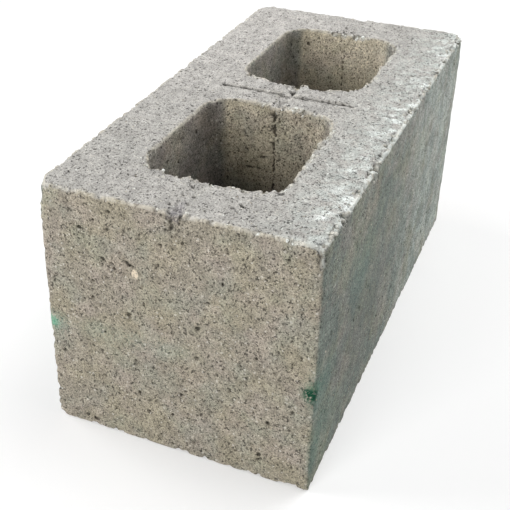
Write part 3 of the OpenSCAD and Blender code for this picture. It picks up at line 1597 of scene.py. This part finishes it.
@dataclass(frozen=True)
class SoftBox:
    """A square light on the ray from the block's centre at that angle, facing the block."""

    name: str
    azimuth: float
    elevation: float
    away: float
    side: float
    watts: float
    colour: str = "#ffffff"

    def build(self, centre: np.ndarray) -> None:
        """Place the light.

        Args:
            centre: the point that it faces, in metres.
        """
        data = bpy.data.lights.new(self.name, "AREA")
        data.shape = "SQUARE"
        data.size = self.side
        data.energy = self.watts
        data.color = linear(self.colour)[:3]
        light = join_collection(bpy.data.objects.new(self.name, data))
        light.matrix_world = view_matrix(self.azimuth, self.elevation, 0.0, self.away, centre)


def view_matrix(azimuth: float, elevation: float, roll: float, away: float, centre: np.ndarray) -> Matrix:
    """Place a camera or light that looks at a point.

    Args:
        azimuth: degrees around Z; at 0 it looks along +Y.
        elevation: degrees above the horizon.
        roll: degrees that its right side is lifted.
        away: its distance from the point in metres.
        centre: the point in metres.

    Returns:
        The object's world matrix.
    """
    a, e, r = (math.radians(v) for v in (azimuth, elevation, roll))
    back = np.array([math.sin(a) * math.cos(e), -math.cos(a) * math.cos(e), math.sin(e)])
    level = np.array([math.cos(a), math.sin(a), 0.0])
    upright = np.cross(back, level)
    right = math.cos(r) * level + math.sin(r) * upright
    matrix = np.identity(4)
    matrix[:3, 0] = right
    matrix[:3, 1] = np.cross(back, right)
    matrix[:3, 2] = back
    matrix[:3, 3] = centre + back * away
    return Matrix(matrix.tolist())


@dataclass(frozen=True)
class Studio:
    """A pale floor, soft lights and the camera. Lengths are in metres, angles in degrees."""

    # The table: half its width, its colour, how brightly it shines by itself, and how far
    # inside the block's outline its unlit plate ends
    table_half: float = 9.0
    table_colour: str = "#cccccc"
    table_glow: float = 0.37
    plate_inset: float = 0.005
    sky_colour: str = "#f6f8fb"
    sky_strength: float = 0.06
    # The camera: where it stands around the block, how far away, and what it looks at,
    # counted from the block's centre; then its lens in millimetres and its shift
    azimuth: float = -67.5
    elevation: float = 30.53
    roll: float = 1.01
    away: float = 0.847
    aim: Place = (-0.031, 0.035, -0.007)
    lens: float = 66.54
    shift: tuple[float, float] = (0.0439, -0.0714)
    lights: tuple[SoftBox, ...] = (
        SoftBox("front", -100.0, 20.0, 1.8, 0.8, 17.5),
        SoftBox("left", -170.0, 35.0, 1.8, 1.2, 24.5),
        SoftBox("over", 30.0, 70.0, 1.8, 1.2, 18.0),
        SoftBox("right", 60.0, 20.0, 1.8, 1.2, 24.0),
    )

    def build(self, low: np.ndarray, high: np.ndarray) -> None:
        """Set the studio up around the block.

        Args:
            low: the block's lowest corner in metres.
            high: its highest corner.
        """
        centre = (low + high) / 2
        self.lay_table(low, high)
        self.fill_sky()
        for light in self.lights:
            light.build(centre)
        self.place_camera(centre + np.array(self.aim))
        bpy.context.scene.view_settings.view_transform = "Standard"

    def lay_table(self, low: np.ndarray, high: np.ndarray) -> None:
        """Lay a lit white table, with an unlit plate just inside the block's outline.

        Args:
            low: the block's lowest corner in metres.
            high: its highest corner.
        """
        half = self.table_half
        inset = self.plate_inset
        z = float(low[2])
        outer = [(-half, -half, z), (half, -half, z), (half, half, z), (-half, half, z)]
        x0, y0, x1, y1 = low[0] + inset, low[1] + inset, high[0] - inset, high[1] - inset
        inner = [(x0, y0, z), (x1, y0, z), (x1, y1, z), (x0, y1, z)]
        ring = [(i, (i + 1) % 4, (i + 1) % 4 + 4, i + 4) for i in range(4)]
        # A translucent sheet lit from behind washes the shadow out, and paint only catches it.
        self.lay("table", outer + inner, ring, "lit_white_acrylic", self.table_glow)
        self.lay("plate", inner, [(0, 1, 2, 3)], "matt_white_paint", 0.0)

    def lay(
        self,
        name: str,
        corners: list[Place],
        faces: list[tuple[int, ...]],
        paint: str,
        glow: float,
    ) -> None:
        """Stage a flat white sheet, which may glow.

        Args:
            name: the sheet's name.
            corners: its corners in metres.
            faces: the numbers of the corners around each face.
            paint: the name of its material.
            glow: how brightly it shines by itself.
        """
        mesh = bpy.data.meshes.new(name)
        mesh.from_pydata([tuple(float(v) for v in corner) for corner in corners], [], faces)
        material = bpy.data.materials.new(paint)
        material.use_nodes = True
        inputs = material.node_tree.nodes["Principled BSDF"].inputs
        inputs["Base Color"].default_value = linear(self.table_colour)
        inputs["Roughness"].default_value = 1.0
        inputs["Specular IOR Level"].default_value = 0.0
        inputs["Emission Color"].default_value = linear("#ffffff")
        inputs["Emission Strength"].default_value = glow
        mesh.materials.append(material)
        join_collection(bpy.data.objects.new(name, mesh))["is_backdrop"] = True

    def fill_sky(self) -> None:
        """Surround the studio with even soft light."""
        world = bpy.data.worlds.new("soft_sky")
        world.use_nodes = True
        background = world.node_tree.nodes["Background"]
        background.inputs["Color"].default_value = linear(self.sky_colour)
        background.inputs["Strength"].default_value = self.sky_strength
        bpy.context.scene.world = world

    def place_camera(self, target: np.ndarray) -> None:
        """Aim the camera.

        Args:
            target: the point that it looks at, in metres.
        """
        data = bpy.data.cameras.new("camera")
        data.lens = self.lens
        data.shift_x, data.shift_y = self.shift
        camera = join_collection(bpy.data.objects.new("camera", data))
        camera.matrix_world = view_matrix(self.azimuth, self.elevation, self.roll, self.away, target)
        bpy.context.scene.camera = camera


# ---------------------------------------------------------------------------------------
# The whole block
# ---------------------------------------------------------------------------------------


@dataclass(frozen=True)
class Grit:
    """The grains that show on the skin: crumbs of cement at the rims, and bare aggregate."""

    crumb: Stone = Stone("cement_crumb", ("#a5a298", "#bdbbb2", "#d3d1c8", "#e6e9e4"))
    crumbs: tuple[Grains, ...] = (
        Grains("rim_crumbs", Record.CRUMBLED, 22.0, (0.7, 2.0), 0.8, 31),
        Grains("top_crumbs", Record.TOP, 2.5, (0.4, 1.1), 0.45, 61),
    )
    stone: Stone = Stone("bare_aggregate", ("#6f695e", "#958c7b", "#b3a997", "#d3ccbe"))
    stones: tuple[Grains, ...] = (
        Grains("bedded_stones", Record.BARE, 0.08, (1.4, 2.8), 0.15, 41),
        Grains("coarse_sand", Record.BARE, 4.0, (0.5, 1.0), 0.35, 51),
    )

    def build(self, skin: bpy.types.Object, half: np.ndarray) -> list[bpy.types.Object]:
        """Scatter all the grains.

        Args:
            skin: the skin that they are bedded in.
            half: the block's half length, half width and height, in metres.

        Returns:
            One piece for each kind of grain.
        """
        pieces = []
        for matter, kinds in ((self.crumb, self.crumbs), (self.stone, self.stones)):
            material = matter.build(half)
            pieces += [grains.build(skin, material) for grains in kinds]
        return pieces


def main() -> None:
    """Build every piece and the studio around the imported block."""
    logging.basicConfig(level=logging.INFO, format="%(name)s: %(message)s")
    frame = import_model()
    cad_box = [list(corner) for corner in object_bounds()]
    low, high = (np.array(corner) for corner in cad_box)

    skin = CastSkin(frame["nodes"][NODE]).build()
    skin.data.materials.append(PressedConcrete(high).build())
    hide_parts(NODE)
    for piece in (skin, *Grit().build(skin, high)):
        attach(piece, BODY)
        LOG.info("%s: %d triangles", piece.name, triangle_count(piece.data))

    Studio().build(low, high)


if __name__ == "__main__":
    main()
